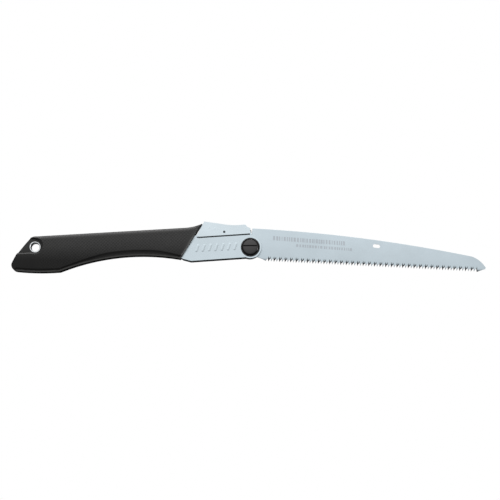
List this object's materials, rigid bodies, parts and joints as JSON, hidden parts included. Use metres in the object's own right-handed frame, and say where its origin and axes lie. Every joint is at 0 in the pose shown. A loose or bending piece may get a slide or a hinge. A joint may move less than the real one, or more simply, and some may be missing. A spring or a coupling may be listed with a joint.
{
  "type": "folding pull saw",
  "caption": "Folding pull saw lying open: tapered blade with long leaning teeth, steel channel with a thumb lock lever, knurled rubber grip with a hang hole.",
  "frame": {"origin": "centre of the hang hole in the grip's butt, at the saw's mid-thickness; the pivot is at X 0.2345", "axes": "+X from the hang hole to the blade pivot and on to the blade's tip, +Y towards the blade's spine, +Z towards the bolt-head side; the saw lies flat"},
  "size_m": [0.517, 0.0555, 0.022],
  "materials": {
    "blade_steel": "fine ground, cool grey",
    "frame_chrome": "satin plated",
    "lever_chrome": "satin plated",
    "eyelet_chrome": "bright plated",
    "grip_rubber": "matt, fine diamond knurl on the sides",
    "bolt_black": "black, semi-gloss",
    "spring_steel": "drawn wire and strip",
    "pin_steel": "turned",
    "pawl_steel": "hardened",
    "washer_brass": "plain"
  },
  "bodies": {
    "handle": {"frame": "frame_chrome", "grip": "grip_rubber", "eyelet": "eyelet_chrome", "eyelet_washer": "eyelet_chrome", "pivot_bolt": "bolt_black", "pivot_nut": "bolt_black", "spring_washer": "spring_steel", "thrust_washer_top": "washer_brass", "thrust_washer_bottom": "washer_brass", "lever_pin": "pin_steel", "lever_spring": "spring_steel", "spring_pin": "pin_steel", "stop_pin": "pin_steel", "stop_spacer": "pin_steel", "grip_rivet_rear": "pin_steel", "grip_spacer_rear": "pin_steel", "grip_rivet_front": "pin_steel", "grip_spacer_front": "pin_steel"},
    "blade": {"blade": "blade_steel"},
    "lever": {"lock_lever": "lever_chrome", "lock_pawl": "pawl_steel", "pawl_rivet": "pin_steel"}
  },
  "joints": [
    {"name": "blade_fold", "type": "hinge", "parent": "handle", "child": "blade", "pos_m": [0.2345, 0, 0], "axis": [0, 0, 1], "range_deg": [-171, 0]},
    {"name": "lever_press", "type": "hinge", "parent": "handle", "child": "lever", "pos_m": [0.206, 0.0167, 0], "axis": [0, 0, 1], "range_deg": [0, 7], "stiffness_Nm_per_rad": 0.6, "springref_deg": -20.05, "deforming": ["lever_spring"]}
  ]
}
